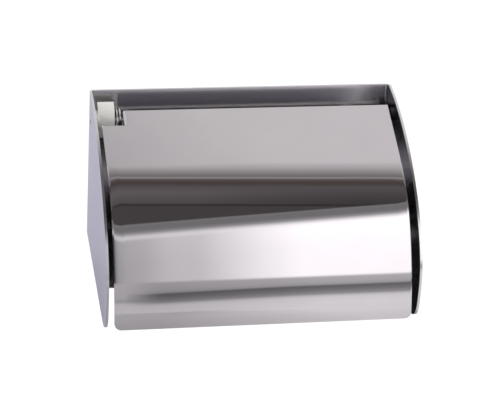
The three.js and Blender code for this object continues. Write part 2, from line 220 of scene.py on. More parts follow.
def moulded(name, dark, light, roughness, soft, texture_depth):
    """Moulded plastic: a little light goes into it, and its skin is faintly uneven."""
    material, nodes, shader = new_material(name)
    shader.inputs["Subsurface Weight"].default_value = soft
    shader.inputs["Subsurface Radius"].default_value = (0.9, 0.85, 0.75)
    shader.inputs["Subsurface Scale"].default_value = 0.0012
    shader.inputs["Specular IOR Level"].default_value = 0.45
    cloud = place_noise(nodes, (1, 1, 1), 160.0, 4.0)
    skin = place_noise(nodes, (1, 1, 1), 1400.0, 2.0)
    nodes.join(tint(nodes, span(nodes, cloud.outputs["Fac"], 0, 1), dark, light),
               shader.inputs["Base Color"])
    nodes.join(span(nodes, skin.outputs["Fac"], roughness * 0.85, roughness * 1.15),
               shader.inputs["Roughness"])
    bump = nodes.add("ShaderNodeBump")
    bump.inputs["Strength"].default_value = 0.3
    bump.inputs["Distance"].default_value = texture_depth
    nodes.join(skin.outputs["Fac"], bump.inputs["Height"])
    nodes.join(bump.outputs["Normal"], shader.inputs["Normal"])
    return material


mirror_steel = steel("mirror_steel", (0.64, 0.605, 0.635), 0.03, 0.4, 0.000001, 0.00001)
body_steel = steel("body_steel", (0.68, 0.66, 0.69), 0.2, 0.12, 0.0000004, 0.000004)
wire_steel = steel("wire_steel", (0.72, 0.71, 0.7), 0.15, 0.6, 0.000006, 0.0)
nylon = moulded("nylon", (0.62, 0.61, 0.585), (0.70, 0.69, 0.665), 0.42, 0.35, 0.00002)
dark_plastic = moulded("dark_plastic", (0.03, 0.03, 0.032), (0.04, 0.04, 0.042), 0.4, 0.0, 0.00001)


# ---------------------------------------------------------------- mesh tools

def mesh_object(name, points, faces):
    mesh = bpy.data.meshes.new(name)
    mesh.from_pydata([tuple(p) for p in points], [], faces)
    mesh.update()
    obj = bpy.data.objects.new(name, mesh)
    scene.collection.objects.link(obj)
    return obj


def settle(obj):
    """Applies the modifiers."""
    depsgraph = bpy.context.evaluated_depsgraph_get()
    final = bpy.data.meshes.new_from_object(obj.evaluated_get(depsgraph))
    obj.modifiers.clear()
    obj.data = final
    return obj


def face_outwards(obj):
    work = bmesh.new()
    work.from_mesh(obj.data)
    bmesh.ops.remove_doubles(work, verts=work.verts, dist=1e-7)
    bmesh.ops.recalc_face_normals(work, faces=work.faces)
    work.to_mesh(obj.data)
    work.free()


def finish_edges(obj, width, segments=2, angle=40):
    """Rounds the sharp edges and keeps the broad faces flat in their shading."""
    if width:
        bevel = obj.modifiers.new("bevel", "BEVEL")
        bevel.width = width * MM
        bevel.segments = segments
        bevel.limit_method = "ANGLE"
        bevel.angle_limit = math.radians(angle)
        bevel.use_clamp_overlap = True
        settle(obj)
    for polygon in obj.data.polygons:
        polygon.use_smooth = True
    weighted = obj.modifiers.new("normals", "WEIGHTED_NORMAL")
    weighted.mode = "FACE_AREA"
    weighted.weight = 80
    return settle(obj)


def cut_round_hole(obj, radius, middle, along, length):
    """Drills a round hole through obj."""
    bpy.ops.mesh.primitive_cylinder_add(vertices=48, radius=radius * MM, depth=length * MM,
                                        location=middle)
    drill = bpy.context.object
    drill.rotation_euler = along.to_track_quat("Z", "Y").to_euler()
    bpy.context.view_layer.update()
    cut = obj.modifiers.new("hole", "BOOLEAN")
    cut.operation = "DIFFERENCE"
    cut.solver = "EXACT"
    cut.object = drill
    settle(obj)
    bpy.data.objects.remove(drill)


def thicken(obj, thickness):
    solid = obj.modifiers.new("sheet", "SOLIDIFY")
    solid.thickness = thickness * MM
    solid.offset = -1
    return settle(obj)


def plate_across(name, outline, x0, x1):
    """A flat plate: a (depth, height) outline pushed from x0 to x1."""
    count = len(outline)
    points = [mm(x, depth, z) for x in (x0, x1) for depth, z in outline]
    faces = [tuple(range(count)), tuple(range(2 * count - 1, count - 1, -1))]
    for i in range(count):
        j = (i + 1) % count
        faces.append((i, i + count, j + count, j))
    obj = mesh_object(name, points, faces)
    face_outwards(obj)
    return obj


def rounded(corners, radius, steps=6, closed=True):
    """The same outline with each corner rounded. radius may be one number or one for each corner."""
    count = len(corners)
    radii = radius if isinstance(radius, (list, tuple)) else [radius] * count
    result = []
    for i, corner in enumerate(corners):
        if not closed and i in (0, count - 1):
            result.append(corner)
            continue
        here = Vector(corner)
        before = Vector(corners[i - 1]) - here
        after = Vector(corners[(i + 1) % count]) - here
        reach = min(radii[i], before.length * 0.49, after.length * 0.49)
        if reach <= 0:
            result.append(corner)
            continue
        start = here + before.normalized() * reach
        end = here + after.normalized() * reach
        for k in range(steps + 1):
            t = k / steps
            point = start * (1 - t) ** 2 + here * 2 * t * (1 - t) + end * t ** 2
            result.append((point.x, point.y))
    return result


def turned(name, profile, depth, height, segments=64):
    """A closed (radius, x) profile turned around a line along X. Its ends may lie on that line."""
    points = []
    rings = []
    for radius, x in profile:
        if radius < 1e-9:
            rings.append([len(points)])
            points.append(mm(x, depth, height))
            continue
        ring = []
        for k in range(segments):
            angle = 2 * math.pi * k / segments
            ring.append(len(points))
            points.append(mm(x, depth + radius * math.cos(angle), height + radius * math.sin(angle)))
        rings.append(ring)
    faces = []
    open_profile = len(rings[0]) == 1 and len(rings[-1]) == 1
    pairs = list(zip(rings, rings[1:]))
    if not open_profile:
        pairs.append((rings[-1], rings[0]))
    for a, b in pairs:
        if len(a) == 1 and len(b) == 1:
            continue
        for k in range(segments):
            n = (k + 1) % segments
            if len(a) == 1:
                faces.append((a[0], b[k], b[n]))
            elif len(b) == 1:
                faces.append((a[k], b[0], a[n]))
            else:
                faces.append((a[k], b[k], b[n], a[n]))
    obj = mesh_object(name, points, faces)
    face_outwards(obj)
    return obj


def wire_tube(name, route, diameter, sides=14):
    """A round wire along a list of points, closed by rounded ends."""
    points = []
    faces = []
    radius = diameter / 2 * MM
    side = None
    end_sizes = (0.35, 0.8)
    stations = []
    last = len(route) - 1
    for size in end_sizes:
        stations.append((route[0] - (route[1] - route[0]).normalized() * radius * (1 - size), 0, size))
    stations += [(point, i, 1.0) for i, point in enumerate(route)]
    for size in reversed(end_sizes):
        way = (route[last] - route[last - 1]).normalized()
        stations.append((route[last] + way * radius * (1 - size), last, size))
    for point, i, size in stations:
        ahead = (route[min(i + 1, last)] - route[max(i - 1, 0)]).normalized()
        if side is None:
            side = ahead.orthogonal().normalized()
        side = (side - ahead * side.dot(ahead)).normalized()
        up = ahead.cross(side)
        for k in range(sides):
            angle = 2 * math.pi * k / sides
            points.append(point + (side * math.cos(angle) + up * math.sin(angle)) * radius * size)
    count = len(stations)
    for i in range(count - 1):
        for k in range(sides):
            n = (k + 1) % sides
            faces.append((i * sides + k, i * sides + n, (i + 1) * sides + n, (i + 1) * sides + k))
    faces.append(tuple(range(sides)))
    faces.append(tuple(range((count - 1) * sides, count * sides)))
    obj = mesh_object(name, points, faces)
    face_outwards(obj)
    for polygon in obj.data.polygons:
        polygon.use_smooth = True
    return obj


def dress(obj, material, slot, body, *nodes):
    """Gives a finished piece its material and the body it rides on, and hides the frame's parts that it
    stands for. The slot is not used.
    """
    obj.data.materials.clear()
    obj.data.materials.append(material)
    if body:
        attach(obj, body)
    if nodes:
        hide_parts(*nodes)
    return obj


def cubic(a, b, c, d, t):
    """A point on a cubic Bezier curve."""
    s = 1 - t
    weights = (s ** 3, 3 * t * s * s, 3 * t * t * s, t ** 3)
    return tuple(sum(w * p[i] for w, p in zip(weights, (a, b, c, d))) for i in range(2))


# ---------------------------------------------------------------- folded body

def lower_edge(depth):
    return PLATE_BOTTOM - depth * LOWER_SLOPE


def cheek_edges():
    """The cheek's upper and lower limits as two functions of depth."""
    upper = [(0.0, PLATE_TOP), (CHEEK_FLAT, PLATE_TOP)]
    handle_depth, handle_drop = CHEEK_TOP_HANDLE
    curve = ((CHEEK_FLAT, PLATE_TOP), (handle_depth, PLATE_TOP - handle_drop),
             (CHEEK_DEPTH, CHEEK_FRONT_TOP + CHEEK_FRONT_HANDLE), (CHEEK_DEPTH, CHEEK_FRONT_TOP))
    upper += [cubic(*curve, k / 300) for k in range(1, 301)]
    corner = lower_edge(CHEEK_DEPTH)
    reach = CHEEK_FRONT_END - corner
    start = Vector((CHEEK_DEPTH - reach, lower_edge(CHEEK_DEPTH - reach)))
    middle = Vector((CHEEK_DEPTH, corner))
    end = Vector((CHEEK_DEPTH, CHEEK_FRONT_END))
    lower = [(0.0, PLATE_BOTTOM + PLATE_CORNER)]
    for k in range(1, 11):
        t = k / 10
        lower.append((PLATE_CORNER * t * t, (PLATE_BOTTOM + PLATE_CORNER) * (1 - t) ** 2
                      + 2 * PLATE_BOTTOM * t * (1 - t) + lower_edge(PLATE_CORNER) * t * t))
    for k in range(0, 101):
        t = k / 100
        point = start * (1 - t) ** 2 + middle * 2 * t * (1 - t) + end * t * t
        lower.append((point.x, point.y))

    def look_up(table):
        def height(depth):
            for (d0, z0), (d1, z1) in zip(table, table[1:]):
                if d0 <= depth <= d1 and d1 > d0:
                    return z0 + (z1 - z0) * (depth - d0) / (d1 - d0)
            return table[-1][1]
        return height

    return look_up(upper), look_up(lower)


def body_sheet():
    """Back plate and cheeks: one sheet that follows its own plan, with its edges found by depth."""
    upper, lower = cheek_edges()
    plan = []
    steps = 60
    for k in range(steps, 0, -1):
        plan.append((-HALF_WIDTH, BEND + (CHEEK_DEPTH - BEND) * math.sin(math.pi / 2 * k / steps)))
    for k in range(0, 9):
        angle = math.pi / 2 * k / 8
        plan.append((-HALF_WIDTH + BEND - BEND * math.cos(angle), BEND - BEND * math.sin(angle)))
    for k in range(1, 24):
        plan.append(((-HALF_WIDTH + BEND) * (1 - k / 12), 0.0))
    plan += [(-x, depth) for x, depth in reversed(plan[:steps + 9])]
    rows = 26
    points = []
    for x, depth in plan:
        top = upper(depth)
        low = lower(depth)
        for j in range(rows + 1):
            points.append(mm(x, depth, low + (top - low) * j / rows))
    faces = []
    wide = rows + 1
    for i in range(len(plan) - 1):
        for j in range(rows):
            faces.append((i * wide + j, (i + 1) * wide + j, (i + 1) * wide + j + 1, i * wide + j + 1))
    obj = mesh_object("body_sheet", points, faces)
    for polygon in obj.data.polygons:
        outward = polygon.center - mm(0, 30, polygon.center.z / MM)
        if polygon.normal.dot(Vector((outward.x, outward.y, 0))) < 0:
            polygon.flip()
    thicken(obj, SHEET)
    for x in (-SCREW_X, SCREW_X):
        for z in (SCREW_UPPER, SCREW_LOWER):
            cut_round_hole(obj, SCREW_RADIUS, mm(x, 0, z), Vector((0, 1, 0)), 8)
    for x in (-HALF_WIDTH, HALF_WIDTH):
        cut_round_hole(obj, PIN_HOLE, mm(x, PIN_DEPTH, PIN_HEIGHT), Vector((1, 0, 0)), 8)
    finish_edges(obj, 0.32, 3, 50)
    return dress(obj, body_steel, "satin_steel", "body", "body_shell")


def shelf_sheet():
    """The shelf between the cheeks, folded forward from the back plate's lower edge."""
    def bottom(depth):
        return lower_edge(depth) + SHELF_RAISE

    line = [(1.3, bottom(1.3) + 3.2), (1.3, bottom(1.3)), (SHELF_DEPTH, bottom(SHELF_DEPTH))]
    outer = rounded(line, 2.2, 8, closed=False)
    inner = []
    for i, point in enumerate(outer):
        before = Vector(outer[max(i - 1, 0)])
        after = Vector(outer[min(i + 1, len(outer) - 1)])
        way = (after - before).normalized()
        inner.append((point[0] - way.y * SHEET, point[1] + way.x * SHEET))
    obj = plate_across("shelf_sheet", outer + inner[::-1], -INNER_HALF + 0.02, INNER_HALF - 0.02)
    finish_edges(obj, 0.2, 2, 60)
    return dress(obj, body_steel, "satin_steel", "body")


# ---------------------------------------------------------------- cover

def cover_line(curve_steps):
    """Stations down the cover's outer face: (depth, height, way along it)."""
    back = Vector(COVER_BACK)
    bend = Vector(COVER_BEND)
    lip = Vector(COVER_LIP)
    along = (bend - back).normalized()
    lip_way = Vector((math.cos(COVER_LIP_ANGLE), -math.sin(COVER_LIP_ANGLE)))
    control = (bend, bend + along * COVER_BEND_HANDLE, lip - lip_way * COVER_LIP_HANDLE, lip)
    stations = [(back + (bend - back) * (k / 10), along) for k in range(10)]
    for k in range(curve_steps + 1):
        t = k / curve_steps
        point = Vector(cubic(*control, t))
        tangent = ((control[1] - control[0]) * (1 - t) ** 2
                   + (control[2] - control[1]) * 2 * t * (1 - t)
                   + (control[3] - control[2]) * t * t).normalized()
        stations.append((point, tangent))
    return stations


def panel_frame(length):
    """A point of the flat panel and the directions down it and into the holder."""
    back = Vector(COVER_BACK)
    along = (Vector(COVER_BEND) - back).normalized()
    return back + along * length, along, Vector((along.y, -along.x))


def ear_foot(share):
    """A point on the ear's round lower edge, from its back (0) to its front (1)."""
    angle = math.radians(EAR_FOOT_BACK + (EAR_FOOT_FRONT - EAR_FOOT_BACK) * share)
    return Vector((PIN_DEPTH + EAR_RADIUS * math.cos(angle), PIN_HEIGHT + EAR_RADIUS * math.sin(angle)))


def ear_row(length, share, steps, folds):
    """Points up the left ear's face and round its fold, for one row of the panel."""
    spot, _, inward = panel_frame(length)
    foot = ear_foot(share)
    top = spot + inward * EAR_FOLD
    row = []
    for k in range(steps):
        point = foot.lerp(top, k / steps)
        row.append(mm(LEFT_EAR, point.x, point.y))
    for k in range(folds):
        turn = math.pi / 2 * k / folds
        point = spot + inward * EAR_FOLD * (1 - math.sin(turn))
        row.append(mm(LEFT_EAR + EAR_FOLD * (1 - math.cos(turn)), point.x, point.y))
    return row


def right_ear():
    """The right ear, joined to the underside of the cover along its edge."""
    start, _, inward = panel_frame(RIGHT_EAR_START)
    end = panel_frame(RIGHT_EAR_END)[0]
    top = [start + inward * (COVER_SHEET - 0.1), end + inward * (COVER_SHEET - 0.1)]
    outline = [tuple(point) for point in top + [ear_foot(1 - k / 24) for k in range(25)]]
    obj = plate_across("ear_right", outline, COVER_HALF - COVER_SHEET, COVER_HALF)
    cut_round_hole(obj, PIN_HOLE, mm(COVER_HALF - COVER_SHEET / 2, PIN_DEPTH, PIN_HEIGHT),
                   Vector((1, 0, 0)), 3)
    finish_edges(obj, 0.15, 2, 50)
    return dress(obj, mirror_steel, "polished_steel", "cover")


def cover_sheet():
    """A curved cover with a notch, two rounded lower corners and a folded left ear."""
    line = cover_line(150)
    lengths = [0.0]
    for (a, _), (b, _) in zip(line, line[1:]):
        lengths.append(lengths[-1] + (b - a).length)
    total = lengths[-1]
    bend_length = (Vector(COVER_BEND) - Vector(COVER_BACK)).length
    ear_length = (NOTCH_DEPTH - COVER_BACK[0]) / line[0][1].x
    ear_rows = 24
    marks = {ear_length * k / ear_rows for k in range(ear_rows + 1)}
    marks |= {length for length in lengths if length > ear_length + 0.2}
    marks |= {total - LIP_CORNER * (1 - math.sin(math.pi / 2 * k / 12)) for k in range(13)}
    kept = []
    for mark in sorted(marks):
        if not kept or mark - kept[-1] > 0.02:
            kept.append(mark)
    kept[-1] = total

    def at(length):
        for i in range(len(lengths) - 1):
            if length <= lengths[i + 1] + 1e-9:
                share = (length - lengths[i]) / (lengths[i + 1] - lengths[i])
                return line[i][0].lerp(line[i + 1][0], share)
        return line[-1][0]

    def half_width(length):
        past = length - (total - LIP_CORNER)
        if past <= 0:
            return COVER_HALF
        return COVER_HALF - LIP_CORNER + math.sqrt(max(LIP_CORNER ** 2 - past ** 2, 0))

    left = LEFT_EAR + EAR_FOLD
    points = []

    def add(new_points):
        first = len(points)
        points.extend(new_points)
        return list(range(first, len(points)))

    def inward_at(length):
        ahead = at(min(length + 0.5, total))
        way = (ahead - at(max(length - 0.5, 0.0))).normalized()
        return Vector((way.y, -way.x))

    def across(places, length, half):
        """Points of one row, rolled in towards the side edges where the cover is curved."""
        spot = at(length)
        inward = inward_at(length)
        curved = min(max((length - bend_length) / 8, 0.0), 1.0)
        row = []
        for x in places:
            near = max(0.0, 1 - (half - abs(x)) / EDGE_ROLL)
            near *= RIGHT_ROLL if x > 0 else 1
            point = spot + inward * EDGE_ROLL_DEPTH * curved * near * near
            row.append(mm(x, point.x, point.y))
        return row

    faces = []
    above = None
    edge_steps = [EDGE_ROLL * k / 8 for k in range(9)]
    for i, length in enumerate(kept):
        half = half_width(length)
        right = half - EDGE_ROLL
        spaced = [left + (right - left) * k / 24 for k in range(24)]
        middle = add(across(spaced + [right + step for step in edge_steps], length, half))
        row = {"middle": middle}
        if i <= ear_rows:
            row["ear"] = add(ear_row(length, i / ear_rows, 6, 6)) + [middle[0]]
        if i >= ear_rows:
            spaced = [-right + (left + right) * k / 4 for k in range(1, 4)]
            strip = [step - half for step in edge_steps] + spaced
            row["strip"] = add(across(strip, length, half)) + [middle[0]]
        if above:
            for part in row:
                if part in above:
                    a, b = above[part], row[part]
                    faces += [(a[k], b[k], b[k + 1], a[k + 1]) for k in range(len(a) - 1)]
        above = row
    obj = mesh_object("cover_sheet", points, faces)
    thicken(obj, COVER_SHEET)
    cut_round_hole(obj, PIN_HOLE, mm(LEFT_EAR + COVER_SHEET / 2, PIN_DEPTH, PIN_HEIGHT),
                   Vector((1, 0, 0)), 3)
    depth = PIN_DEPTH + HOOK_REACH * math.cos(HOOK_ANGLE)
    height = PIN_HEIGHT + HOOK_REACH * math.sin(HOOK_ANGLE)
    cut_round_hole(obj, WIRE / 2 + 0.3, mm(LEFT_EAR + COVER_SHEET / 2, depth, height),
                   Vector((1, 0, 0)), 3)
    finish_edges(obj, 0.16, 2, 60)
    return dress(obj, mirror_steel, "polished_steel", "cover", "cover")


# ---------------------------------------------------------------- hinge

def hinge_pin():
    end = HALF_WIDTH + 0.4
    profile = [(0, -end), (0.8, -end + 0.03), (1.25, -end + 0.12), (PIN_RADIUS, -end + 0.35),
               (PIN_RADIUS, end - 0.35), (1.25, end - 0.12), (0.8, end - 0.03), (0, end)]
    obj = turned("pin_rod", profile, PIN_DEPTH, PIN_HEIGHT, 32)
    finish_edges(obj, 0)
    return dress(obj, wire_steel, "spring_steel", "body", "hinge_pin")


def hinge_block():
    """A moulded nylon block with a round boss on the side of the cheek."""
    outer = -BLOCK_INNER - BLOCK_WIDTH
    obj = plate_across("nylon_block", BLOCK_OUTLINE, outer, -BLOCK_INNER)
    boss_from = -INNER_HALF + GAP
    boss_to = outer + 1
    bpy.ops.mesh.primitive_cylinder_add(
        vertices=64, radius=BOSS_RADIUS * MM, depth=(boss_to - boss_from) * MM,
        location=mm((boss_from + boss_to) / 2, PIN_DEPTH, PIN_HEIGHT),
        rotation=(0, math.pi / 2, 0))
    boss = bpy.context.object
    join = obj.modifiers.new("boss", "BOOLEAN")
    join.operation = "UNION"
    join.solver = "EXACT"
    join.object = boss
    settle(obj)
    bpy.data.objects.remove(boss)
    cut_round_hole(obj, PIN_HOLE, mm(outer, PIN_DEPTH, PIN_HEIGHT), Vector((1, 0, 0)), 40)
    finish_edges(obj, 0.4, 3, 50)
    return dress(obj, nylon, "white_nylon", "body", "hinge_block")


def hinge_bush():
    x0 = COVER_HALF + GAP
    x1 = INNER_HALF - GAP
    profile = rounded([(PIN_HOLE, x0), (BUSH_RADIUS, x0), (BUSH_RADIUS, x1), (PIN_HOLE, x1)], 0.25, 4)
    obj = turned("spacer_bush", profile, PIN_DEPTH, PIN_HEIGHT, 48)
    finish_edges(obj, 0)
    return dress(obj, dark_plastic, "dark_plastic", "body", "hinge_bush")


def torsion_spring():
    """Coils on the pin: one leg rests on the back plate, the other hooks through the cover's ear."""
    x_start = -BLOCK_INNER + GAP + WIRE / 2
    turn_in = HOOK_BEND / HOOK_REACH
    sweep = COIL_TURNS * 2 * math.pi - HOOK_ANGLE - turn_in
    count = 120
    route = []

    def around(x, radius, angle):
        return mm(x, PIN_DEPTH + radius * math.cos(angle), PIN_HEIGHT + radius * math.sin(angle))

    for k in range(24):
        route.append(mm(x_start, PIN_DEPTH - COIL_RADIUS, PIN_HEIGHT - SPRING_LEG + SPRING_LEG * k / 24))
    for k in range(count + 1):
        share = k / count
        ease = max(0.0, (share - COIL_FLARE) / 0.2)
        radius = COIL_RADIUS + (HOOK_REACH - COIL_RADIUS) * ease * ease * (3 - 2 * ease)
        x = x_start + share * COIL_TURNS * COIL_PITCH
        route.append(around(x, radius, math.pi - share * sweep))
    x_coil = x_start + COIL_TURNS * COIL_PITCH
    x_hook = LEFT_EAR + COVER_SHEET + HOOK_THROUGH
    for k in range(1, 7):
        angle = math.pi / 2 * k / 6
        route.append(around(x_coil + HOOK_BEND * (1 - math.cos(angle)), HOOK_REACH,
                            HOOK_ANGLE + turn_in * (1 - math.sin(angle))))
    for k in range(1, 7):
        x = x_coil + HOOK_BEND + (x_hook - x_coil - HOOK_BEND) * k / 6
        route.append(around(x, HOOK_REACH, HOOK_ANGLE))
    obj = wire_tube("wire_spring", route, WIRE)
    dress(obj, wire_steel, "spring_steel", None, "torsion_spring")
    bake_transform(obj)
    return obj


# ---------------------------------------------------------------- roller

SOCKET_FACE = INNER_HALF - GAP
SOCKET_LENGTH = 4.2
SOCKET_BORE = 3.9
SOCKET_RADIUS = 6.5
FLANGE = 1.2                    # the socket's flange: its thickness and how far it stands out
TIP_RADIUS = 3.5
TIP_END = INNER_HALF - 2 * GAP
SHOULDER = SOCKET_FACE - SOCKET_LENGTH - 0.6
SLEEVE_RADIUS = 10.0
SLEEVE_END = 22.0
PLUNGER_RADIUS = 8.5


def socket(name, side, node):
    mouth = SOCKET_FACE - SOCKET_LENGTH
    cup = SOCKET_RADIUS - FLANGE
    step = SOCKET_FACE - FLANGE
    corners = [(SOCKET_BORE, mouth), (cup, mouth), (cup, step),
               (SOCKET_RADIUS, step), (SOCKET_RADIUS, SOCKET_FACE), (SOCKET_BORE, SOCKET_FACE)]
    profile = [(r, side * x) for r, x in rounded(corners, [0.6, 0.7, 0.8, 0.4, 0.1, 0.1], 5)]
    obj = turned(name, profile, ROLLER_DEPTH, ROLLER_HEIGHT, 64)
    finish_edges(obj, 0)
    return dress(obj, dark_plastic, "dark_plastic", "body", node)


def roller_sleeve():
    """The larger half of the roller, with shallow grip rings and a stepped tip."""
    inside = SLEEVE_RADIUS - 1.3
    corners = [(0, -TIP_END), (TIP_RADIUS, -TIP_END), (TIP_RADIUS, -SHOULDER),
               (SLEEVE_RADIUS, -SHOULDER)]
    radii = [0, 1.0, 0.3, 1.4]
    for start in (-58, -24, 6):
        for k in range(3):
            x = start + 4 * k
            for offset, radius in ((0, SLEEVE_RADIUS), (0.3, SLEEVE_RADIUS - 0.35),
                                   (1.1, SLEEVE_RADIUS - 0.35), (1.4, SLEEVE_RADIUS)):
                corners.append((radius, x + offset))
                radii.append(0.12)
    corners += [(SLEEVE_RADIUS, SLEEVE_END), (inside, SLEEVE_END), (inside, -SHOULDER + 2),
                (0, -SHOULDER + 2)]
    radii += [0.5, 0.3, 0.5, 0]
    profile = rounded(corners, radii, 4)
    obj = turned("roller_tube", profile, ROLLER_DEPTH, ROLLER_HEIGHT, 72)
    finish_edges(obj, 0)
    return dress(obj, dark_plastic, "dark_plastic", "roller", "roller_sleeve")


def roller_plunger():
    inside = PLUNGER_RADIUS - 1.2
    corners = [(0, SHOULDER - 2), (inside, SHOULDER - 2), (inside, 0), (PLUNGER_RADIUS, 0)]
    radii = [0, 0.4, 0.2, 0.4]
    for k in range(3):
        x = 52 + 4 * k
        for offset, radius in ((0, PLUNGER_RADIUS), (0.3, PLUNGER_RADIUS - 0.3),
                               (1.1, PLUNGER_RADIUS - 0.3), (1.4, PLUNGER_RADIUS)):
            corners.append((radius, x + offset))
            radii.append(0.12)
    corners += [(PLUNGER_RADIUS, SHOULDER), (TIP_RADIUS, SHOULDER), (TIP_RADIUS, TIP_END), (0, TIP_END)]
    radii += [1.2, 0.3, 1.0, 0]
    profile = rounded(corners, radii, 4)
    obj = turned("roller_core", profile, ROLLER_DEPTH, ROLLER_HEIGHT, 72)
    finish_edges(obj, 0)
    return dress(obj, dark_plastic, "dark_plastic", "plunger", "roller_plunger")


def roller_spring():
    turns = 11
    per_turn = 24
    radius = 5.5
    x0 = -SHOULDER + 2 + GAP + WIRE / 2
    x1 = SHOULDER - 2 - GAP - WIRE / 2
    count = turns * per_turn
    route = []
    for k in range(count + 1):
        angle = 2 * math.pi * k / per_turn
        route.append(mm(x0 + (x1 - x0) * k / count, ROLLER_DEPTH + radius * math.cos(angle),
                        ROLLER_HEIGHT + radius * math.sin(angle)))
    obj = wire_tube("roller_coil", route, WIRE, 10)
    dress(obj, wire_steel, "spring_steel", None, "roller_spring")
    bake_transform(obj)
    return obj


# ---------------------------------------------------------------- stage, light and camera

def camera_at_the_photo_view():
    """The camera is to the left of the holder and above it, with a slight roll."""
    azimuth = math.radians(11.695)
    elevation = math.radians(26.742)
    roll = math.radians(3.535)
    back = Vector((-math.sin(azimuth) * math.cos(elevation),
                   -math.cos(azimuth) * math.cos(elevation), math.sin(elevation)))
    level = (-back).cross(Vector((0, 0, 1))).normalized()
    upright = level.cross(-back)
    right = level * math.cos(roll) + upright * math.sin(roll)
    up = upright * math.cos(roll) - level * math.sin(roll)
    place = mm(-175.35, 884.25, 430.22)
    data = bpy.data.cameras.new("camera")
    data.sensor_width = 36
    data.lens = 144
    data.clip_start = 0.05
    obj = bpy.data.objects.new("camera", data)
    scene.collection.objects.link(obj)
    obj.matrix_world = Matrix((
        (right.x, up.x, back.x, place.x),
        (right.y, up.y, back.y, place.y),
        (right.z, up.z, back.z, place.z),
        (0, 0, 0, 1),
    ))
    scene.camera = obj


def level_sheet(name, x0, x1, y0, y1, height):
    """A level sheet of the stage, in metres, with a matt paint still to be coloured."""
    obj = mesh_object(name, [(x0, y0, height), (x1, y0, height), (x1, y1, height), (x0, y1, height)],
                      [(0, 1, 2, 3)])
    material, nodes, shader = new_material(name + "_paint")
    shader.inputs["Roughness"].default_value = 0.9
    shader.inputs["Specular IOR Level"].default_value = 0.1
    obj.data.materials.append(material)
    return obj, nodes, shader


def plain_sheet(name, x0, x1, y0, y1, height, colour):
    obj, nodes, shader = level_sheet(name, x0, x1, y0, y1, height)
    cloud = place_noise(nodes, (1, 1, 1), 3.0, 2.0)
    darker = tuple(channel * 0.99 for channel in colour)
    nodes.join(tint(nodes, span(nodes, cloud.outputs["Fac"], 0, 1), darker, colour),
               shader.inputs["Base Color"])
    return obj


def painted_light_sheet(name, x0, x1, y0, y1, height):
    """Painted light and shade: lighter to the right, as a lamp's falloff painted into the tone, and
    lighter away from the holder, as the holder's shadow painted in near it.
    """
    obj, nodes, shader = level_sheet(name, x0, x1, y0, y1, height)
    where = nodes.add("ShaderNodeTexCoord")
    parts = nodes.add("ShaderNodeSeparateXYZ")
    nodes.join(where.outputs["Object"], parts.inputs["Vector"])
    # painted light: the paint grows lighter to the right, as light falling off from a lamp on that side
    slant = nodes.add("ShaderNodeMath", operation="MULTIPLY_ADD")
    slant.inputs[1].default_value = 0.16
    nodes.join(parts.outputs["Y"], slant.inputs[0])
    nodes.join(parts.outputs["X"], slant.inputs[2])
    both = nodes.add("ShaderNodeMath", operation="MULTIPLY")
    nodes.join(span(nodes, slant.outputs["Value"], 0.53, 0.95, -0.066, 0.039), both.inputs[0])
    # painted shade: the paint grows darker towards the holder, as its shadow on the table in front of it
    nodes.join(span(nodes, parts.outputs["Y"], 0.89, 0.78, -0.35, -0.11), both.inputs[1])
    nodes.join(both.outputs["Value"], shader.inputs["Base Color"])
    return obj


def floor_and_table():
    """A far pale floor, and a low table that only reflections and bounced light see. The table's tones
    carry painted light and shade: darker behind the holder, graded in front, and a dark sheet under the
    holder as painted shade.
    """
    plain_sheet("floor", -60.0, 60.0, -60.0, 60.0, -1.5, (0.93, 0.93, 0.93))
    front = -0.089
    for sheet in (
            # painted shade: the rear table's darker tone stands in for the holder's shade behind it; its
            # lavender tint is the table's own colour
            plain_sheet("table", -0.45, 0.45, -0.45, 0.45, -0.052, (0.5, 0.495, 0.585)),
            # painted light and shade on the front table, seen only in reflections and bounced light
            painted_light_sheet("table_front", -3.0, 3.0, -3.0, front, -0.0515),
            # painted shade: a near-black sheet under the holder stands in for the holder's own shade on
            # the table, which darkens its inside
            plain_sheet("table_painted_shade", -0.066, 0.074, -0.082, -0.004, -0.0515, (0.05, 0.05, 0.05))):
        sheet.visible_camera = False
        sheet.visible_shadow = False


def ramp_stops(ramp, stops):
    """Fills a colour ramp with (position, grey or colour) pairs."""
    elements = ramp.color_ramp.elements
    while len(elements) > 1:
        elements.remove(elements[-1])
    for i, (position, value) in enumerate(stops):
        colour = value if isinstance(value, tuple) else (value, value, value)
        element = elements[0] if i == 0 else elements.new(position)
        element.position = position
        element.color = (*colour, 1)


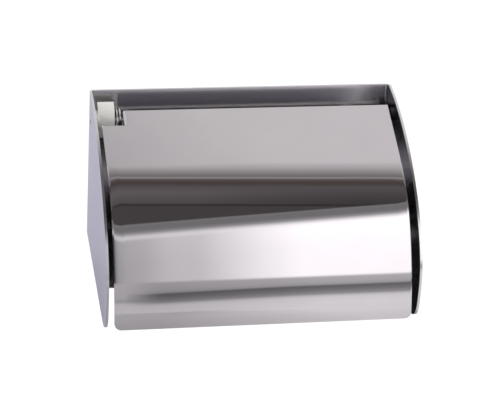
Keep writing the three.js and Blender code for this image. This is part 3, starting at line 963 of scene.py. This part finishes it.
def studio():
    """The room around the holder: a dim ceiling, a long soft box in front and a pale ground.

    Directions are told by the angle up from the horizon in front: 0 is level in front, 90 is
    overhead and 180 is level behind. The ceiling's and the box's edges lean across the room. The
    fades change the light across the room, and a plain wall stands far to the left.
    """
    world = bpy.data.worlds.new("studio")
    world.use_nodes = True
    scene.world = world
    nodes = Nodes(world.node_tree)
    output = nodes.add("ShaderNodeOutputWorld")
    where = nodes.add("ShaderNodeTexCoord")
    parts = nodes.add("ShaderNodeSeparateXYZ")
    nodes.join(where.outputs["Generated"], parts.inputs["Vector"])

    def maths(operation, first, second=None, clamp=False):
        node = nodes.add("ShaderNodeMath", operation=operation, use_clamp=clamp)
        for slot, value in enumerate((first, second)):
            if value is None:
                continue
            if isinstance(value, (int, float)):
                node.inputs[slot].default_value = value
            else:
                nodes.join(value, node.inputs[slot])
        return node.outputs["Value"]

    def bands(value, low, high, stops):
        """Light that depends on one value, from (value, brightness) pairs."""
        ramp = nodes.add("ShaderNodeValToRGB")
        ramp_stops(ramp, [((place - low) / (high - low), light) for place, light in stops])
        nodes.join(maths("DIVIDE", maths("SUBTRACT", value, low), high - low), ramp.inputs["Fac"])
        return ramp.outputs["Color"]

    def rising(value, start, end):
        node = nodes.add("ShaderNodeMapRange", interpolation_type="SMOOTHSTEP")
        node.inputs["From Min"].default_value = start
        node.inputs["From Max"].default_value = end
        nodes.join(value, node.inputs["Value"])
        return node.outputs["Result"]

    def blend(share, first, second):
        mix = nodes.add("ShaderNodeMix", data_type="RGBA")
        nodes.join(share, mix.inputs["Factor"])
        nodes.join(first, mix.inputs["A"])
        nodes.join(second, mix.inputs["B"])
        return mix.outputs["Result"]

    def times(first, second):
        mix = nodes.add("ShaderNodeMix", data_type="RGBA", blend_type="MULTIPLY")
        mix.inputs["Factor"].default_value = 1.0
        nodes.join(first, mix.inputs["A"])
        nodes.join(second, mix.inputs["B"])
        return mix.outputs["Result"]

    sideways = parts.outputs["X"]
    forward = maths("MULTIPLY", parts.outputs["Y"], -1.0)
    angle = maths("MULTIPLY", maths("ARCTAN2", parts.outputs["Z"], forward), 180 / math.pi)
    lean_middle = 0.19
    lean_reach = 0.12
    edge_start = 0.11
    edge_reach = 0.08
    across = maths("SUBTRACT", sideways, lean_middle)
    across = maths("MAXIMUM", maths("MINIMUM", across, lean_reach), -lean_reach)
    edge = maths("MINIMUM", maths("SUBTRACT", edge_start, sideways, clamp=True), edge_reach)
    ceiling_lean = maths("ADD", maths("MULTIPLY", across, 60.0), maths("MULTIPLY", edge, 115.0))
    box_lean = maths("ADD", maths("MULTIPLY", across, 77.0), maths("MULTIPLY", edge, 100.0))
    ceiling_angle = maths("ADD", angle, ceiling_lean)
    box_angle = maths("SUBTRACT", angle, box_lean)

    ceiling = bands(ceiling_angle, 50, 190, [
        (50, (0.085, 0.078, 0.079)), (63.2, (0.085, 0.078, 0.077)), (64.3, (0.035, 0.032, 0.03)),
        (65.6, (0.088, 0.081, 0.08)), (70, (0.1, 0.093, 0.094)), (76, (0.13, 0.12, 0.124)),
        (80.5, (0.135, 0.122, 0.122)), (84, (0.095, 0.08, 0.076)), (86.5, (0.11, 0.09, 0.082)),
        (88.6, (0.2, 0.18, 0.17)), (89.3, (0.36, 0.35, 0.34)), (89.8, (0.45, 0.44, 0.43)),
        (90.4, (0.27, 0.26, 0.26)),
        (91.8, (0.25, 0.242, 0.24)), (96, (0.42, 0.415, 0.41)), (100, (0.6, 0.595, 0.585)),
        (103, (0.7, 0.695, 0.685)), (105.6, (0.81, 0.805, 0.79)), (112, (0.85, 0.845, 0.835)),
        (140, (0.88, 0.88, 0.88)), (190, (0.8, 0.8, 0.8)),
    ])
    box = bands(box_angle, 0, 60, [
        (0, 1.42), (30, 1.48), (44, 1.58), (46.5, 1.5), (48, 1.15), (49, 0.78), (50.2, 0.45),
        (51.6, 0.29), (53, 0.245), (55, 0.24), (57, 0.27), (60, 0.27),
    ])
    fade = bands(sideways, 0.1, 0.27, [
        (0.1, 1.38), (0.155, 1.28), (0.188, 1.02), (0.207, 0.92), (0.233, 0.84), (0.27, 0.8),
    ])
    dim_part = maths("MULTIPLY", rising(ceiling_angle, 63.5, 66), rising(ceiling_angle, 82, 74))
    ceiling = blend(dim_part, ceiling, times(ceiling, fade))
    box_fade = bands(sideways, -0.1, 0.25, [
        (-0.1, 0.05), (0.045, 0.1), (0.075, 0.34), (0.11, 0.38), (0.118, 0.39), (0.128, 0.435),
        (0.14, 0.535), (0.156, 0.562), (0.172, 0.75), (0.188, 0.94), (0.205, 1.08), (0.25, 1.1),
    ])
    box_light = blend(rising(box_angle, 44, 51), times(box, box_fade), box)
    lean = maths("MULTIPLY", maths("SUBTRACT", 0.2, sideways, clamp=True), 16.0)
    ground_angle = maths("ADD", angle, lean)
    ground = bands(ground_angle, -90, 20, [
        (-90, 0.85), (-4, 0.9), (1, 0.98), (3.6, 0.92), (4.6, 0.74), (5.3, 0.42), (7, 0.27),
        (9.2, 0.17), (9.9, 0.48), (11.5, 0.58), (13.6, 0.62), (20, 0.66),
    ])
    ground_fade = bands(sideways, 0.1, 0.25, [
        (0.1, 0.72), (0.14, 0.76), (0.188, 0.94), (0.22, 1.03), (0.25, 1.05),
    ])
    glow = bands(angle, -90, 20, [(-90, 0.9), (0, 1.0), (4, 0.97), (5.2, 0.62), (7, 0.78), (20, 0.86)])
    ground = times(blend(rising(sideways, 0.137, 0.112), ground, glow), ground_fade)
    upper = blend(rising(box_angle, 57.9, 56.9), ceiling, box_light)
    around = blend(rising(angle, 13.4, 15.2), ground, upper)
    behind = rising(angle, -90, -100)
    around = blend(behind, around, ceiling)
    wall = nodes.add("ShaderNodeRGB")
    wall.outputs["Color"].default_value = (0.85, 0.85, 0.88, 1)
    around = blend(rising(sideways, -0.4, -0.65), around, wall.outputs["Color"])

    light = nodes.add("ShaderNodeBackground")
    nodes.join(around, light.inputs["Color"])
    plain = nodes.add("ShaderNodeBackground")
    plain.inputs["Color"].default_value = (1, 1, 1, 1)
    plain.inputs["Strength"].default_value = 1.0
    rays = nodes.add("ShaderNodeLightPath")
    choose = nodes.add("ShaderNodeMixShader")
    nodes.join(rays.outputs["Is Camera Ray"], choose.inputs["Fac"])
    nodes.join(light.outputs["Background"], choose.inputs[1])
    nodes.join(plain.outputs["Background"], choose.inputs[2])
    nodes.join(choose.outputs["Shader"], output.inputs["Surface"])

    data = bpy.data.lights.new("overhead", "SUN")
    data.angle = math.radians(60)
    data.energy = 1.75
    lamp = bpy.data.objects.new("overhead", data)
    lamp.rotation_euler = Vector((0.25, 0.35, -1)).to_track_quat("-Z", "Y").to_euler()
    lamp.visible_glossy = False
    scene.collection.objects.link(lamp)
    scene.view_settings.view_transform = "Standard"


camera_at_the_photo_view()
floor_and_table()
studio()

body_sheet()
shelf_sheet()
cover_sheet()
right_ear()
hinge_pin()
hinge_block()
hinge_bush()
torsion_spring()
socket("cup_left", -1, "socket_left")
socket("cup_right", 1, "socket_right")
roller_sleeve()
roller_plunger()
roller_spring()
